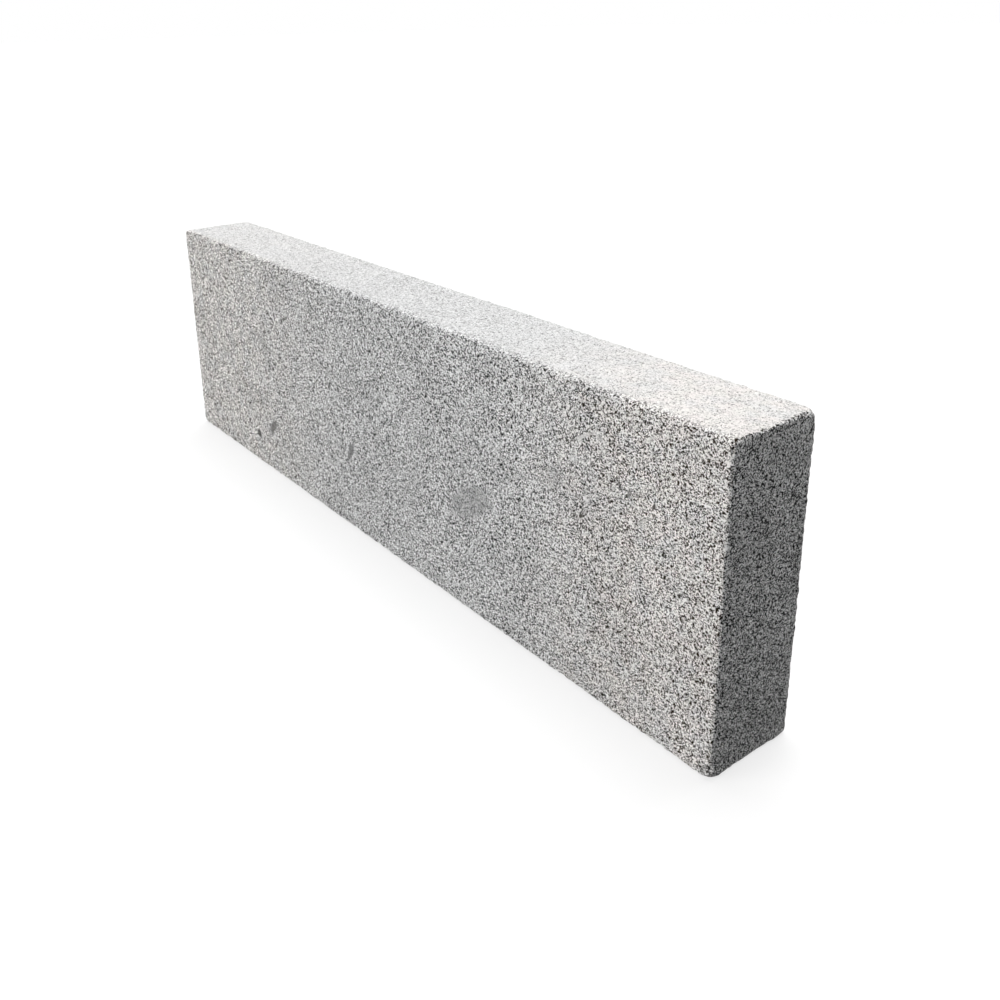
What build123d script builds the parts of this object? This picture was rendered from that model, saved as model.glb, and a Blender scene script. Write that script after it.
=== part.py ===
"""Granite kerb stone: one block of stone, textured all over, with eased arrises and worn corners.

The stone stands on its bed as it would before it is laid. The frame's origin is the middle of the bed,
+X runs along the kerb line, -Y is the exposed face and +Z is up. Sizes are in millimetres.
"""

import os
from itertools import product

from build123d import *

# Driving dimensions of the block
LENGTH = 1000.0  # along the kerb line, from butt end to butt end
WIDTH = 100.0  # from the exposed face to the back
HEIGHT = 300.0  # from the bed to the top

# Dressing of the edges
ARRIS_RADIUS = 3.0  # the easing of every arris between two faces
CORNER_SETBACK = 7.0  # how far along each of its three arrises a corner is knocked off

PARTS_FOLDER = "parts"


def sawn_block():
    """The block as it leaves the saw, with sharp arrises."""
    return Box(LENGTH, WIDTH, HEIGHT, align=(Align.CENTER, Align.CENTER, Align.MIN))


def corner_facet(side_x, side_y, side_z):
    """The plane that takes off one corner; each side is -1 or 1 and names the faces that meet there."""
    corner_height = HEIGHT if side_z > 0 else 0.0
    on_long_arris = (side_x * (LENGTH / 2 - CORNER_SETBACK), side_y * WIDTH / 2, corner_height)
    return Plane(origin=on_long_arris, z_dir=(side_x, side_y, side_z))


def knock_off_corners(block):
    """The block with a small facet, equally inclined to its three faces, at each of its eight corners."""
    for sides in product((-1, 1), repeat=3):
        block = split(block, bisect_by=corner_facet(*sides), keep=Keep.BOTTOM)
    return block


def ease_arrises(block):
    """The block with every arris, also those around the corner facets, rounded over."""
    return fillet(block.edges(), ARRIS_RADIUS)


def kerb_stone():
    """The finished stone."""
    return ease_arrises(knock_off_corners(sawn_block()))


def main():
    os.makedirs(PARTS_FOLDER, exist_ok=True)
    stone = kerb_stone()
    stone.label = "kerb_stone"
    export_step(stone, os.path.join(PARTS_FOLDER, f"{stone.label}.step"))
    print(f"kerb_stone volume {stone.volume / 1e9:.5f} m3")


main()
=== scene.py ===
"""The looks of a granite kerb stone: one worn, textured block of speckled grey granite in a pale studio.

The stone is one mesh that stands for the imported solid. It is laid out as a lattice on the solid's box,
rounded at the arrises and corners as the solid is, and then only ever worn inwards, so that it stays in
that box. Its granite is a pattern in space, cut by the block's faces as real grains are. Lengths are in
metres.
"""

import math
import random
from collections import namedtuple
from itertools import product

import bmesh
import bpy
import numpy as np
from mathutils import Matrix, Vector, noise


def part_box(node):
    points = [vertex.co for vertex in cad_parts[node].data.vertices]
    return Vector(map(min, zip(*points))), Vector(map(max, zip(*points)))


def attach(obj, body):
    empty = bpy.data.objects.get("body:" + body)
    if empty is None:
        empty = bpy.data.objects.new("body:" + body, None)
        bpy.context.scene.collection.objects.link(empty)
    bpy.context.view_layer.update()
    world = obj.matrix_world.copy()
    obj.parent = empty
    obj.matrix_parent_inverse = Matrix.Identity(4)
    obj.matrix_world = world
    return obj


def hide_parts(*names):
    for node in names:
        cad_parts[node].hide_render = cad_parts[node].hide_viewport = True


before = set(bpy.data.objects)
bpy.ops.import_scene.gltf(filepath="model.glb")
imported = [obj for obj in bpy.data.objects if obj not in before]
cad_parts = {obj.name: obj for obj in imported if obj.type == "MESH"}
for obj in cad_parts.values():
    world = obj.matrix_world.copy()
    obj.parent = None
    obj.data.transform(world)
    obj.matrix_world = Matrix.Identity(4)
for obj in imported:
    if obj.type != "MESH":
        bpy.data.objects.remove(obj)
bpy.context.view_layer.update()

NODE = "kerb_stone"
BODY = "root"
MM = 0.001

# The block's dressing, as on the solid
ARRIS_RADIUS = 3 * MM
CORNER_SETBACK = 7 * MM

# How far along its arrises a corner is knocked off, where it is worn more than the rest. The signs name the
# three faces that meet there.
WORN_CORNERS = {
    (1, -1, -1): 9 * MM,
    (1, 1, 1): 8.5 * MM,
}
CORNER_EASING = 2.5 * MM  # how far to each side of its edge a corner's facet is rounded over

# The mesh: even cells on the faces, split both ways beside an arris
CELL = 4.3 * MM
ARRIS_CELLS = 2  # how many cells from an arris are beside it
ARRIS_SPLITS = 3
UNFOLD_GAP = 4 * MM  # between the faces on the unfolded sheet

# Wear, all of it inwards
SWELL_SIZE, SWELL_DEPTH = 110 * MM, 0.35 * MM  # slow waves left by the dressing
PIT_SIZE, PIT_DEPTH = 9 * MM, 0.40 * MM  # the hammered texture
RAGGED_SIZE, RAGGED_DEPTH = 4.5 * MM, 0.9 * MM  # the uneven line of each arris
WORN_SIZE, WORN_DEPTH = 28 * MM, 0.6 * MM  # stretches of an arris that are rounder
HOLLOW_RIM = 0.5  # the level of the noise at the rim of a hollow
CHANNEL_SHIFT = 17.3  # how many lumps of the noise lie between one channel and the next
CHIP_COUNT = 90
CHIP_RADIUS = (4 * MM, 10 * MM)
CHIP_DEPTH = (0.6 * MM, 1.7 * MM)
CHIP_SEED = 7

# The shader's noise
NOISE_MEAN = (0.5, 0.5, 0.5)
NOISE_RANGE = (0.3, 0.7)  # where most of its values lie

# The granite: a matrix of quartz and feldspar, and flakes of dark mica that gather between its grains
MATRIX_GRAIN = 1.3 * MM
FAR_COARSER = 1.35  # how much larger the grains are at the far end than at the near one
WARP_SIZE, WARP_REACH = 1.2 * MM, 0.7 * MM  # the unevenness of the grains' outlines
QUARTZ_SHARE = 0.20
QUARTZ_TONES = (0.42, 0.58)
FELDSPAR_TONES = (0.77, 0.97)
TONE_STEP = 0.01  # the share of grains between the two
MICA_FLAKE = 0.87 * MM
FLAKE_OFFSET = (0.37, 0.11, 0.23)  # keeps the flakes from falling on the grains' own pattern
MICA_BETWEEN, MICA_WITHIN = 0.42, 0.255  # the share of mica at the edge of a grain and in its middle
MICA_REACH = 0.22  # how far from a grain's edge mica gathers, as a share of the grain
COARSE_FLAKE, COARSE_SHARE = 1.5 * MM, 0.085  # larger flakes among them
MICA_TONE = 0.012
PATCH_SIZE, PATCH_CHANGE = 70 * MM, 0.05  # slow changes of tone
MATRIX_ROUGHNESS, MICA_ROUGHNESS = 0.75, 0.5
SPECULAR = 0.03
BUMP, BUMP_HEIGHT = 0.45, 0.5 * MM
GRIT_SIZE, GRIT_DETAIL, GRIT_HEIGHT = 1.2 * MM, 3.0, 0.8  # in the bump, where a grain is up to 1 high

# The two ends, painted darker and of more contrast than the hammered faces, with more of the mica: painted
# shade
END_FACING = (0.4, 0.9)  # how squarely a surface looks along the length where an end begins, and on it
END_SHADE_GAMMA = 1.45
END_SHADE_MICA = 1.3

# A painted highlight on the top: a pale cover that stands for the stronger light falling on it
TOP_HIGHLIGHT_TONE = 0.71
TOP_HIGHLIGHT, TOP_HIGHLIGHT_ON_BARE = 0.76, 0.12  # how much it covers of the stone, and of the flakes that it leaves bare
BARE_SHARE = 0.28  # the share of the flakes that it leaves bare
TOP_HIGHLIGHT_PATCH, TOP_HIGHLIGHT_CHANGE = 12 * MM, 0.12  # its unevenness
TOP_HIGHLIGHT_FACING = (0.88, 0.985)  # how squarely a surface looks up where the painted highlight begins, and where it is full
THIN_TOP_HIGHLIGHT = 0.82  # how much of it there is in the middle of the length
THIN_PLACES = (0.05, 0.35)  # how far from the middle it begins to thicken, and where it is full
SHADED_STRIP_REACH, SHADED_STRIP_HIGHLIGHT = 13 * MM, 0.0  # a strip by the front arris that keeps less of it, so that it is painted darker: painted shade
ARRIS_SHADE_REACH, ARRIS_SHADE_TONE = 5 * MM, 0.80  # that arris itself, painted a little darker: painted shade

# The stain and painted light towards each end: the places along the length where it begins and where it is
# full, and its two tints, pinkish and yellowish, which take turns in patches. Being above 1, they also
# brighten the ends, which is painted light. Its wash browns the dark grains too.
NEAR_STAIN_AND_LIGHT, FAR_STAIN_AND_LIGHT = (0.20, 0.46), (0.0, -0.45)
NEAR_TINTS_AND_LIGHT = (1.085, 1.05, 1.04), (1.07, 1.06, 1.035)
FAR_TINTS_AND_LIGHT = (1.17, 1.14, 1.13), (1.155, 1.15, 1.115)
STAIN_WASH = (0.018, 0.008, 0.0, 1)
STAIN_AND_LIGHT_SIZE, STAIN_AND_LIGHT_AMOUNTS = 24 * MM, (0.4, 1.4)  # its unevenness, and how thin and thick that makes it
HUE_SIZE, HUE_RANGE = 16 * MM, (0.35, 0.65)  # the patches, and the noise between the two tints
HUE_OFFSET = (0.5, 0.5, 0.5)  # keeps the tints from turning where the amount does

# Marks on the front: where (x, z), half sizes the long way and across it, how the long way rises towards +X
# in degrees, the tone, how much it covers and how far its grains go above and below its tone
Mark = namedtuple("Mark", "x z along across rise tone cover speckle", defaults=[0.6])
MARKS = (
    # Dark inclusions
    Mark(-0.303, 0.0435, 6.0 * MM, 5.2 * MM, -37, 0.10, 0.95),
    Mark(-0.256, 0.0688, 12.6 * MM, 5.5 * MM, 42, 0.17, 0.85),
    Mark(-0.261, 0.0603, 6.8 * MM, 4.0 * MM, 56, 0.20, 0.80),
    Mark(-0.0515, 0.1023, 12.8 * MM, 4.6 * MM, 61, 0.22, 0.90),
    # Patches of a finer grain
    Mark(0.1830, 0.1277, 36 * MM, 15.5 * MM, 30, 0.32, 0.50),
    Mark(0.308, 0.2020, 12 * MM, 8 * MM, 20, 0.33, 0.25),
    # Single dark grains
    Mark(0.343, 0.1771, 2.6 * MM, 2.1 * MM, 22, 0.08, 0.95),
    Mark(0.427, 0.2190, 3.0 * MM, 1.6 * MM, 75, 0.08, 0.95),
    Mark(0.391, 0.1100, 2.6 * MM, 2.1 * MM, 0, 0.10, 0.95),
    Mark(0.3996, 0.2197, 4.1 * MM, 2.0 * MM, 77, 0.20, 0.80),
    # Pale scuffs
    Mark(0.3455, 0.2531, 13.0 * MM, 1.7 * MM, 31, 0.70, 0.70, 0.2),
    Mark(0.3646, 0.2568, 9.0 * MM, 1.7 * MM, -18, 0.70, 0.70, 0.2),
    Mark(0.4228, 0.2771, 16.1 * MM, 1.6 * MM, 39, 0.66, 0.40, 0.2),
)
MARK_RAGGED_SIZE, MARK_RAGGED_REACH = 5 * MM, 4 * MM  # the unevenness of a mark's outline
MARK_EDGE = (1.25, 0.75)  # where a mark begins and where it covers in full, in its half sizes
MARK_GRAIN = 1.4 * MM

# The studio's light. A lamp has the way it shines, the level at which it shows a white face square to it,
# and its spread in degrees.
AMBIENT = 0.30
Lamp = namedtuple("Lamp", "way level spread")
LAMPS = {
    "overhead": Lamp((0.15, -0.20, -0.97), 0.77, 35),
    "left_front": Lamp((0.42, 0.87, -0.26), 0.655, 35),
    "back_fill": Lamp((0.50, -1.00, -0.20), 0.25, 60),
    "right_fill": Lamp((-1.00, 0.00, -0.05), 0.14, 50),
}

# The floor, and of the white that it shows, the part that a shadow leaves and the part that it takes
FLOOR_REACH = 30.0
FLOOR_BOUNCE = 0.2
FLOOR_GLOW, FLOOR_SHADE = 0.72, 0.30

# The camera, for an image of IMAGE x IMAGE pixels
IMAGE = 1000
FOCAL_PIXELS = 1017.6
OPTICAL_CENTRE = (469.1, 356.4)
CAMERA_PLACE = (0.9205, -0.5992, 0.5925)
CAMERA_TURN, CAMERA_DIP, CAMERA_ROLL = 53.19, 18.67, -1.06  # degrees
SENSOR = 36.0


# Shape


def lattice_steps(half):
    """Places across a face, from -half to half, about a cell apart."""
    return np.linspace(-half, half, round(2 * half / CELL) + 1)


def box_lattice(half):
    """Vertices and quads on a box's six faces. Neighbouring faces share the vertices of their arris."""
    steps = [lattice_steps(h) for h in half]
    on_surface = np.zeros([len(s) for s in steps], bool)
    for axis in range(3):
        sheets = np.moveaxis(on_surface, axis, 0)
        sheets[0] = True
        sheets[-1] = True
    number = np.full(on_surface.shape, -1)
    number[on_surface] = np.arange(on_surface.sum())
    points = np.stack(np.meshgrid(*steps, indexing="ij"), -1)[on_surface]
    quads = []
    for axis, side in product(range(3), (0, -1)):
        sheet = np.take(number, side, axis)
        corners = [sheet[:-1, :-1], sheet[1:, :-1], sheet[1:, 1:], sheet[:-1, 1:]]
        if (side == 0) != (axis == 1):
            corners.reverse()
        quads.append(np.stack(corners, -1).reshape(-1, 4))
    return points, np.concatenate(quads)


def arris_distance(points, half):
    """How far each point on the box's faces is from the nearest arris."""
    return np.sort(half - np.abs(points), axis=-1)[..., 1]


def refined_box(half):
    """The box's lattice as a mesh, with finer cells beside its arrises."""
    points, quads = box_lattice(half)
    mesh = bpy.data.meshes.new("granite_kerb")
    mesh.from_pydata(points.tolist(), [], quads.tolist())
    refined = bmesh.new()
    refined.from_mesh(mesh)
    reach = ARRIS_CELLS * CELL
    edges = set()
    for face in refined.faces:
        if arris_distance(np.array(face.calc_center_median()), half) < reach:
            edges.update(face.edges)
    bmesh.ops.subdivide_edges(refined, edges=list(edges), cuts=ARRIS_SPLITS - 1, use_grid_fill=True)
    refined.to_mesh(mesh)
    refined.free()
    return mesh


def smooth_noise(points, size, channel):
    """Noise from about -1 to 1 at each point, with lumps of the given size.

    Each channel is a pattern of its own.
    """
    shift = CHANNEL_SHIFT * channel
    return np.array([noise.noise(Vector(p)) for p in points / size + shift])


def hollows(points, size, channel):
    """From 0 on ridges to about 1 in the middle of pits of the given size."""
    return np.clip(HOLLOW_RIM - smooth_noise(points, size, channel), 0, 1)


def rounded(points, half):
    """The box's points brought onto arrises of ARRIS_RADIUS, and the outward direction at each."""
    core = np.clip(points, ARRIS_RADIUS - half, half - ARRIS_RADIUS)
    outward = points - core
    outward /= np.linalg.norm(outward, axis=1, keepdims=True)
    return core + outward * ARRIS_RADIUS, outward


def eased_excess(beyond, easing):
    """How far each value is above zero, rounded over from easing below it to easing above it."""
    start = np.clip(beyond + easing, 0, 2 * easing)
    return np.maximum(start**2 / (4 * easing), beyond)


def knock_off_corners(points, half):
    """Presses each corner back to its facet, with a rounded edge."""
    for signs in product((-1, 1), repeat=3):
        direction = np.array(signs) / math.sqrt(3)
        setback = WORN_CORNERS.get(signs, CORNER_SETBACK)
        facet = half.sum() / math.sqrt(3) - setback / math.sqrt(3)
        points = points - eased_excess(points @ direction - facet, CORNER_EASING)[:, None] * direction
    return points


def chips(half):
    """The places along the arrises where a flake has come off.

    Each is the middle and the radius of a ball that is scooped out, and the way out of the stone there.
    """
    draw = random.Random(CHIP_SEED)
    for _ in range(CHIP_COUNT):
        axis = draw.choices(range(3), weights=half)[0]
        signs = [draw.choice((-1, 1)) for _ in range(3)]
        signs[axis] = 0
        outward = np.array(signs) / math.sqrt(2)
        along = np.zeros(3)
        along[axis] = draw.uniform(-1, 1) * (half[axis] - CORNER_SETBACK)
        apex = half * signs + along - outward * ARRIS_RADIUS * (math.sqrt(2) - 1)
        radius = draw.uniform(*CHIP_RADIUS)
        depth = draw.uniform(*CHIP_DEPTH)
        yield apex + outward * (radius - depth), radius, outward


def scoop_chips(points, half):
    """Moves the points inside each chip's ball back onto it."""
    for centre, radius, outward in chips(half):
        offset = points - centre
        along = offset @ outward
        inside = radius**2 - (offset**2).sum(1)
        sunk = along + np.sqrt(np.maximum(along**2 + inside, 0))
        points = points - np.where(inside > 0, sunk, 0)[:, None] * outward
    return points


def weathered(flat, half):
    """The stone's surface for points on the box's faces."""
    points, outward = rounded(flat, half)
    points = knock_off_corners(points, half)
    points = scoop_chips(points, half)
    near_arris = np.clip(1 - arris_distance(flat, half) / (ARRIS_CELLS * CELL), 0, 1)
    depth = SWELL_DEPTH * hollows(flat, SWELL_SIZE, channel=1)
    depth += PIT_DEPTH * hollows(flat, PIT_SIZE, channel=2)
    depth += RAGGED_DEPTH * near_arris * hollows(flat, RAGGED_SIZE, channel=3)
    depth += WORN_DEPTH * near_arris**2 * hollows(flat, WORN_SIZE, channel=4)
    return points - depth[:, None] * outward


def unfold(mesh, flat, half):
    """A UV map with the six faces in rows, all at one scale, for textures baked from the granite."""
    length, width, height = 2 * half
    # The row of each face, by the axis that it looks along and its side. The two ends share a row.
    rows = {(1, -1): 0, (1, 1): 1, (2, 1): 2, (2, -1): 3, (0, 1): 4, (0, -1): 4}
    row_heights = [height, height, width, width, width]
    starts = np.cumsum([UNFOLD_GAP] + [h + UNFOLD_GAP for h in row_heights])
    sheet = np.array([length + 2 * UNFOLD_GAP, starts[-1]])
    layer = mesh.uv_layers.new(name="OFBake")
    for face in mesh.polygons:
        corners = flat[list(face.vertices)]
        middle = corners.mean(0)
        axis = int(np.argmax(np.abs(middle) - half))
        side = int(np.sign(middle[axis]))
        if axis == 0:
            across, up = corners[:, 2] + half[2], corners[:, 1] + half[1]
            across = across + (height + UNFOLD_GAP if side < 0 else 0)
        else:
            across, up = corners[:, 0] + half[0], corners[:, 3 - axis] + half[3 - axis]
        spots = np.stack([across + UNFOLD_GAP, up + starts[rows[axis, side]]], 1) / sheet
        for loop, spot in zip(face.loop_indices, spots):
            layer.data[loop].uv = spot


def kerb_stone(material):
    """The stone as one piece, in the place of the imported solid."""
    low, high = (np.array(corner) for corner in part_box(NODE))
    half, centre = (high - low) / 2, (high + low) / 2
    mesh = refined_box(half)
    flat = np.array([v.co for v in mesh.vertices])
    unfold(mesh, flat, half)
    mesh.vertices.foreach_set("co", (weathered(flat, half) + centre).ravel())
    mesh.shade_smooth()
    mesh.materials.append(material)
    stone = bpy.data.objects.new("granite_kerb", mesh)
    bpy.context.scene.collection.objects.link(stone)
    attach(stone, BODY)
    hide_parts(NODE)


# Materials


class Nodes:
    """A node tree, with calls that add a node, feed its inputs and give back what it puts out."""

    # The Mix node's inputs for the factor and two colours, and its output for a colour
    MIX_FACTOR, MIX_A, MIX_B = 0, 6, 7
    MIX_RESULT = 2

    def __init__(self, tree):
        self.tree = tree
        tree.nodes.clear()

    def add(self, kind, inputs=None, **settings):
        """A new node. Each of its inputs is fed by another node's output or set to a value."""
        node = self.tree.nodes.new("ShaderNode" + kind)
        for name, value in settings.items():
            setattr(node, name, value)
        for name, value in (inputs or {}).items():
            if isinstance(value, bpy.types.NodeSocket):
                self.tree.links.new(value, node.inputs[name])
            else:
                node.inputs[name].default_value = value
        return node

    def math(self, operation, *values, clamp=False):
        return self.add("Math", dict(enumerate(values)), operation=operation, use_clamp=clamp).outputs[0]

    def vector(self, operation, *values):
        return self.add("VectorMath", dict(enumerate(values)), operation=operation).outputs[0]

    def scaled(self, vector, factor):
        return self.add("VectorMath", {0: vector, "Scale": factor}, operation="SCALE").outputs[0]

    def ranged(self, value, low, high, to_low=0.0, to_high=1.0, run="SMOOTHSTEP"):
        """The value's way from low to high as a smooth step from to_low to to_high."""
        inputs = {"Value": value, "From Min": low, "From Max": high, "To Min": to_low, "To Max": to_high}
        return self.add("MapRange", inputs, interpolation_type=run).outputs[0]

    def linear(self, value, low, high, to_low, to_high):
        """The value's way from low to high as a straight run from to_low to to_high."""
        return self.ranged(value, low, high, to_low, to_high, run="LINEAR")

    def mix(self, factor, a, b, blend="MIX"):
        """Colour a turned into b, or blended with it, by a factor from 0 to 1."""
        inputs = {self.MIX_FACTOR: factor, self.MIX_A: a, self.MIX_B: b}
        return self.add("Mix", inputs, data_type="RGBA", blend_type=blend).outputs[self.MIX_RESULT]

    def noise(self, place, size, detail=2.0, output="Fac"):
        inputs = {"Vector": place, "Scale": 1 / size, "Detail": detail}
        return self.add("TexNoise", inputs).outputs[output]

    def voronoi(self, place, size, output="Color", **settings):
        """Cells of about the given size: a random colour for each, or the distance to its edge."""
        return self.add("TexVoronoi", {"Vector": place, "Scale": 1 / size}, **settings).outputs[output]

    def split(self, value):
        """The three numbers of a colour or vector."""
        kind = "SeparateXYZ" if value.type == "VECTOR" else "SeparateColor"
        return self.add(kind, {0: value}).outputs

    def ramp(self, value, stops):
        """A grey for a number from 0 to 1, by straight runs between the stops."""
        node = self.add("ValToRGB", {0: value})
        elements = node.color_ramp.elements
        for element, (position, tone) in zip((elements[0], elements[1]), stops):
            element.position = position
            element.color = grey(tone)
        for position, tone in stops[2:]:
            elements.new(position).color = grey(tone)
        return node.outputs[0]


def grey(tone):
    return (tone, tone, tone, 1)


def wobbled(nodes, place, size, reach):
    """The place pushed about by noise of the given size, so that a pattern laid out by it is uneven."""
    push = nodes.vector("SUBTRACT", nodes.noise(place, size, output="Color"), NOISE_MEAN)
    return nodes.vector("ADD", place, nodes.scaled(push, reach))


def coarser_far(nodes, place):
    """The place shrunk towards the far end, so that a pattern laid out by it is coarser there.

    Along the length, a place is shrunk by the mean of the shrinking from the middle of the stone to there.
    """
    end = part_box(NODE)[1][0]
    x = nodes.split(place)[0]
    near, far = 1.0, 1 / FAR_COARSER
    middle = (near + far) / 2
    along = nodes.linear(x, -end, end, (far + middle) / 2, (near + middle) / 2)
    across = nodes.linear(x, -end, end, far, near)
    shrinking = nodes.add("CombineXYZ", {0: along, 1: across, 2: across}).outputs[0]
    return nodes.vector("MULTIPLY", place, shrinking)


def outward(nodes):
    """The three numbers of the surface's outward direction."""
    return nodes.split(nodes.add("NewGeometry").outputs["Normal"])


def on_ends(nodes):
    """1 on the two sawn ends and 0 on the long faces."""
    return nodes.ranged(nodes.math("ABSOLUTE", outward(nodes)[0]), *END_FACING)


def grains(nodes, place, on_end):
    """The fresh stone: its colour, where it is mica, which of that stays bare of the top's painted
    highlight, and a number for each grain.
    """
    warped = coarser_far(nodes, wobbled(nodes, place, WARP_SIZE, WARP_REACH))
    mineral = nodes.split(nodes.voronoi(warped, MATRIX_GRAIN))[0]
    matrix = nodes.ramp(mineral, [
        (0.0, QUARTZ_TONES[0]),
        (QUARTZ_SHARE - TONE_STEP, QUARTZ_TONES[1]),
        (QUARTZ_SHARE, FELDSPAR_TONES[0]),
        (1.0, FELDSPAR_TONES[1]),
    ])
    edge = nodes.voronoi(warped, MATRIX_GRAIN, "Distance", feature="DISTANCE_TO_EDGE")
    share = nodes.ranged(edge, 0.0, MICA_REACH, MICA_BETWEEN, MICA_WITHIN)
    # More mica on the ends, which is part of their painted shade
    share = nodes.math("MULTIPLY", share, nodes.ranged(on_end, 0.0, 1.0, 1.0, END_SHADE_MICA))
    flake = nodes.split(nodes.voronoi(nodes.vector("ADD", warped, FLAKE_OFFSET), MICA_FLAKE))
    fine = nodes.math("LESS_THAN", flake[0], share)
    coarse = nodes.math("LESS_THAN", nodes.split(nodes.voronoi(warped, COARSE_FLAKE))[1], COARSE_SHARE)
    mica = nodes.math("MAXIMUM", fine, coarse)
    bare = nodes.math("MULTIPLY", mica, nodes.math("LESS_THAN", flake[1], BARE_SHARE))
    return nodes.mix(mica, matrix, grey(MICA_TONE)), mica, bare, mineral


def with_marks(nodes, place, colour):
    """The colour with the front's inclusions, patches and scuffs, each with a ragged, soft outline."""
    ragged = wobbled(nodes, place, MARK_RAGGED_SIZE, MARK_RAGGED_REACH)
    grain = nodes.split(nodes.voronoi(place, MARK_GRAIN))[0]
    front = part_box(NODE)[0][1]
    for mark in MARKS:
        inputs = {
            "Vector": ragged,
            "Location": (mark.x, front, mark.z),
            "Rotation": (0, -math.radians(mark.rise), 0),
            "Scale": (mark.along, mark.along, mark.across),
        }
        local = nodes.add("Mapping", inputs, vector_type="TEXTURE").outputs[0]
        distance = nodes.add("VectorMath", {0: local}, operation="LENGTH").outputs["Value"]
        cover = nodes.ranged(distance, *MARK_EDGE, 0.0, mark.cover)
        tone = nodes.linear(grain, 0.0, 1.0, mark.tone * (1 - mark.speckle), mark.tone * (1 + mark.speckle))
        colour = nodes.mix(cover, colour, tone)
    return colour


def stained_and_lit(nodes, place, colour, amount, tints):
    """The colour with an uneven stain that goes from the first tint to the second in patches. Tints above 1
    also brighten it, which is painted light.
    """
    uneven = nodes.ranged(nodes.noise(place, STAIN_AND_LIGHT_SIZE), *NOISE_RANGE, *STAIN_AND_LIGHT_AMOUNTS)
    hue = nodes.ranged(nodes.noise(nodes.vector("ADD", place, HUE_OFFSET), HUE_SIZE), *HUE_RANGE)
    tint = nodes.mix(hue, (*tints[0], 1), (*tints[1], 1))
    amount = nodes.math("MULTIPLY", amount, uneven, clamp=True)
    tinted = nodes.mix(amount, colour, tint, blend="MULTIPLY")
    return nodes.mix(amount, tinted, STAIN_WASH, blend="ADD")


def top_highlight_cover(nodes, place, bare, behind):
    """How much of the stone the top's painted highlight covers. Each share thins it for a reason of its
    own.
    """
    x = nodes.split(place)[0]
    cover = nodes.ranged(bare, 0.0, 1.0, TOP_HIGHLIGHT, TOP_HIGHLIGHT_ON_BARE)
    for share in (
        nodes.ranged(nodes.noise(place, TOP_HIGHLIGHT_PATCH), *NOISE_RANGE, 1 - TOP_HIGHLIGHT_CHANGE, 1 + TOP_HIGHLIGHT_CHANGE),
        nodes.ranged(nodes.math("ABSOLUTE", x), *THIN_PLACES, THIN_TOP_HIGHLIGHT, 1.0),
        nodes.ranged(outward(nodes)[2], *TOP_HIGHLIGHT_FACING),
        # The strip by the front arris keeps less of the painted highlight, which is painted shade
        nodes.ranged(behind, 0.0, SHADED_STRIP_REACH, SHADED_STRIP_HIGHLIGHT, 1.0),
    ):
        cover = nodes.math("MULTIPLY", cover, share)
    return cover


def weathering_and_painted_light(nodes, place, colour, bare, on_end):
    """The colour with slow changes of tone, painted shade on the ends, a painted highlight on the top with
    painted shade along its front arris, and a stain with painted light towards each end.
    """
    (_, front, _), (_, _, top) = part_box(NODE)
    x, y, z = nodes.split(place)
    behind = nodes.math("SUBTRACT", y, front)
    below = nodes.math("SUBTRACT", top, z)
    patch = nodes.ranged(nodes.noise(place, PATCH_SIZE), *NOISE_RANGE, 1 - PATCH_CHANGE, 1 + PATCH_CHANGE)
    colour = nodes.mix(1.0, colour, patch, blend="MULTIPLY")
    # The ends' colour, darker and of more contrast, which is painted shade
    shaded_end = nodes.add("Gamma", {"Color": colour, "Gamma": END_SHADE_GAMMA}).outputs[0]
    far = stained_and_lit(nodes, place, colour, nodes.ranged(x, *FAR_STAIN_AND_LIGHT), FAR_TINTS_AND_LIGHT)
    # Painted shade: the front arris on the top is painted a little darker
    arris_shade = nodes.ranged(nodes.math("MAXIMUM", behind, below), 0.0, ARRIS_SHADE_REACH, ARRIS_SHADE_TONE, 1.0)
    arris_shaded = nodes.mix(1.0, far, arris_shade, blend="MULTIPLY")
    # The top's pale cover, which is a painted highlight
    highlighted = nodes.mix(top_highlight_cover(nodes, place, bare, behind), arris_shaded, grey(TOP_HIGHLIGHT_TONE))
    hammered = stained_and_lit(nodes, place, highlighted, nodes.ranged(x, *NEAR_STAIN_AND_LIGHT), NEAR_TINTS_AND_LIGHT)
    return nodes.mix(on_end, hammered, shaded_end)


def granite():
    """Grey granite with a hammered, weathered surface, and light and shade painted into its colour on the
    top, the ends and towards each end.
    """
    material = bpy.data.materials.new("granite")
    material.use_nodes = True
    nodes = Nodes(material.node_tree)
    place = nodes.add("TexCoord").outputs["Object"]
    on_end = on_ends(nodes)
    colour, mica, bare, mineral = grains(nodes, place, on_end)
    colour = with_marks(nodes, place, colour)
    colour = weathering_and_painted_light(nodes, place, colour, bare, on_end)
    proud = nodes.math("SUBTRACT", mineral, mica)
    grit = nodes.math("MULTIPLY", nodes.noise(place, GRIT_SIZE, GRIT_DETAIL), GRIT_HEIGHT)
    height = nodes.math("ADD", proud, grit)
    bump = nodes.add("Bump", {"Strength": BUMP, "Distance": BUMP_HEIGHT, "Height": height}).outputs[0]
    roughness = nodes.ranged(mica, 0.0, 1.0, MATRIX_ROUGHNESS, MICA_ROUGHNESS)
    shader = nodes.add("BsdfPrincipled", {"Base Color": colour, "Roughness": roughness, "Normal": bump})
    shader.inputs["Specular IOR Level"].default_value = SPECULAR
    nodes.add("OutputMaterial", {"Surface": shader.outputs[0]})
    return material


# Studio


def seen(nodes):
    """1 for rays that show the background: from the camera, off a shiny thing or through a clear one."""
    path = nodes.add("LightPath").outputs
    shown = nodes.math("MAXIMUM", path["Is Camera Ray"], path["Is Glossy Ray"])
    return nodes.math("MAXIMUM", shown, path["Is Transmission Ray"])


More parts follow.
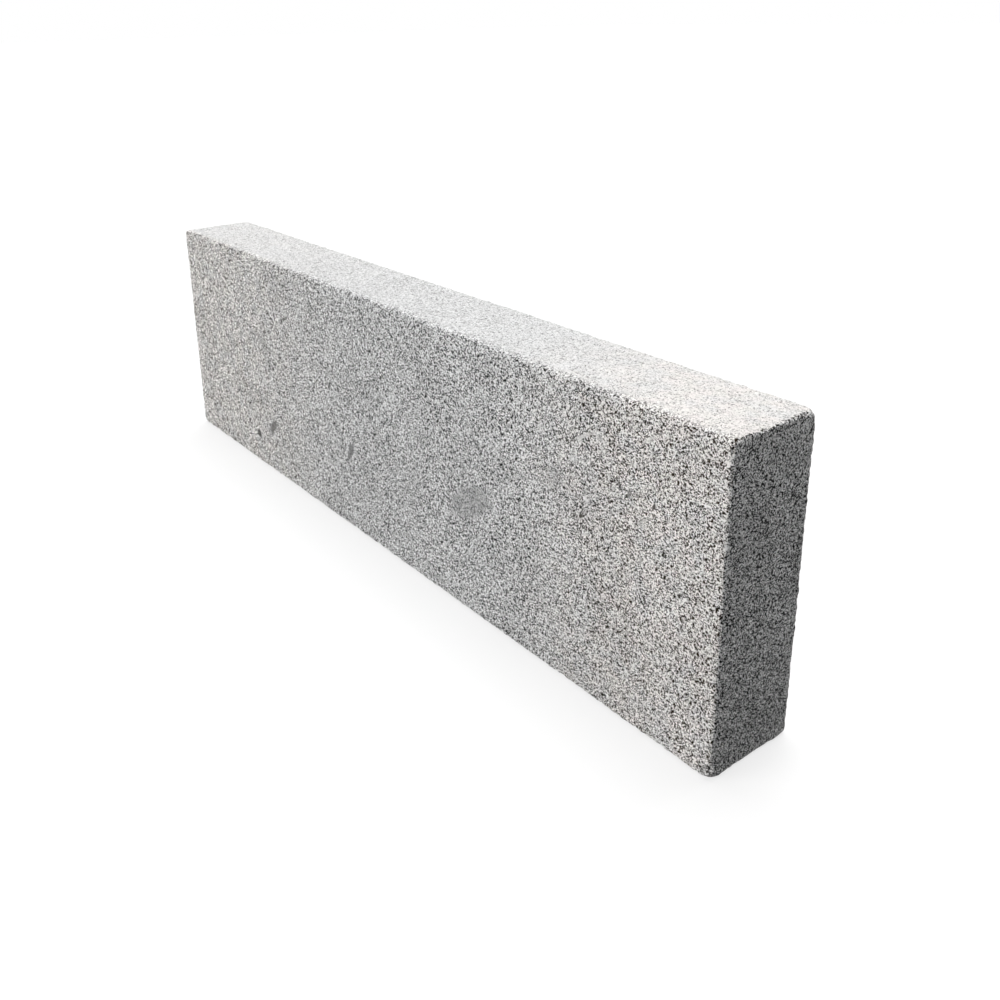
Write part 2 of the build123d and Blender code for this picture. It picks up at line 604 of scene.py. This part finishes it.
def floor():
    """A pale floor that keeps the stone's shadow and throws little light back."""
    material = bpy.data.materials.new("studio_floor")
    material.use_nodes = True
    nodes = Nodes(material.node_tree)
    dark = nodes.add("BsdfDiffuse", {"Color": grey(FLOOR_BOUNCE)}).outputs[0]
    glow = nodes.add("Emission", {"Color": grey(1), "Strength": FLOOR_GLOW}).outputs[0]
    shade = nodes.add("BsdfDiffuse", {"Color": grey(FLOOR_SHADE)}).outputs[0]
    pale = nodes.add("AddShader", {0: glow, 1: shade}).outputs[0]
    both = nodes.add("MixShader", {0: seen(nodes), 1: dark, 2: pale}).outputs[0]
    nodes.add("OutputMaterial", {"Surface": both})
    corners = [(x * FLOOR_REACH, y * FLOOR_REACH, 0) for x, y in ((-1, -1), (1, -1), (1, 1), (-1, 1))]
    mesh = bpy.data.meshes.new("studio_floor")
    mesh.from_pydata(corners, [], [(0, 1, 2, 3)])
    mesh.materials.append(material)
    made = bpy.data.objects.new("studio_floor", mesh)
    bpy.context.scene.collection.objects.link(made)


def sky():
    """Even light from all round, and white where it is seen."""
    world = bpy.data.worlds.new("studio")
    bpy.context.scene.world = world
    world.use_nodes = True
    nodes = Nodes(world.node_tree)
    strength = nodes.math("ADD", nodes.math("MULTIPLY", seen(nodes), 1 - AMBIENT), AMBIENT)
    background = nodes.add("Background", {"Color": grey(1), "Strength": strength}).outputs[0]
    nodes.add("OutputWorld", {"Surface": background})


def lamp(name, way, level, spread):
    """A soft lamp far off. A white face square to it shows at the given level."""
    light = bpy.data.lights.new(name, "SUN")
    light.energy = level * math.pi
    light.angle = math.radians(spread)
    made = bpy.data.objects.new(name, light)
    made.rotation_mode = "QUATERNION"
    made.rotation_quaternion = Vector(way).to_track_quat("-Z", "Y")
    bpy.context.scene.collection.objects.link(made)


def camera():
    """The camera, with its lens shifted so that the stone is framed as in the photo."""
    data = bpy.data.cameras.new("camera")
    data.sensor_width = SENSOR
    data.lens = FOCAL_PIXELS / IMAGE * SENSOR
    data.shift_x = 0.5 - OPTICAL_CENTRE[0] / IMAGE
    data.shift_y = OPTICAL_CENTRE[1] / IMAGE - 0.5
    made = bpy.data.objects.new("camera", data)
    turn = Matrix.Rotation(math.radians(CAMERA_TURN), 4, "Z")
    dip = Matrix.Rotation(math.radians(90 - CAMERA_DIP), 4, "X")
    roll = Matrix.Rotation(math.radians(CAMERA_ROLL), 4, "Z")
    made.matrix_world = Matrix.Translation(CAMERA_PLACE) @ turn @ dip @ roll
    bpy.context.scene.collection.objects.link(made)
    bpy.context.scene.camera = made


bpy.context.scene.view_settings.view_transform = "Standard"
camera()
sky()
for lamp_name, values in LAMPS.items():
    lamp(lamp_name, *values)
floor()
kerb_stone(granite())
